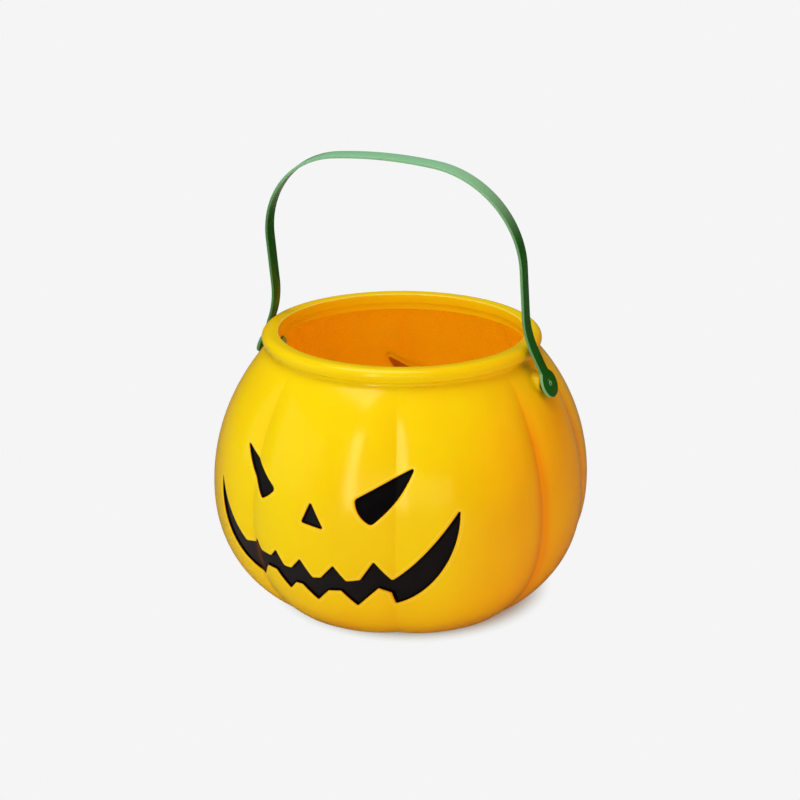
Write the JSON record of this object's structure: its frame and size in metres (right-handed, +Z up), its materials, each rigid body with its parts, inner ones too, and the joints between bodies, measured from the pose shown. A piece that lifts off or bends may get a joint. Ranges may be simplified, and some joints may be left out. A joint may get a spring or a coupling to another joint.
{
  "type": "pumpkin candy pail",
  "caption": "Round lobed pumpkin pail with an open mouth, a thick rim, a sunk jack-o'-lantern face on front and back, and a strap handle that swings over the mouth for carrying candy.",
  "frame": {"origin": "middle of the base, on the surface that the pail stands on", "axes": "+Z up, X through the handle's two pivots, the front face looks towards -Y"},
  "size_m": [0.1648, 0.168, 0.1994],
  "materials": {
    "pumpkin_plastic": "glossy yellow-orange blow-moulded plastic",
    "strap_plastic": "glossy dark green moulded plastic",
    "face_black": "glossy black coat in the face's recesses"
  },
  "bodies": {
    "pail": {"pail_shell": "pumpkin_plastic", "front_left_eye": "face_black", "front_right_eye": "face_black", "front_nose": "face_black", "front_mouth": "face_black", "back_left_eye": "face_black", "back_right_eye": "face_black", "back_nose": "face_black", "back_mouth": "face_black"},
    "handle": {"handle_strap": "strap_plastic"}
  },
  "joints": [
    {"name": "handle_swing", "type": "hinge", "parent": "pail", "child": "handle", "pos_m": [0, 0, 0.1046], "axis": [1, 0, 0], "range_deg": [-79.5, 60.5]}
  ]
}
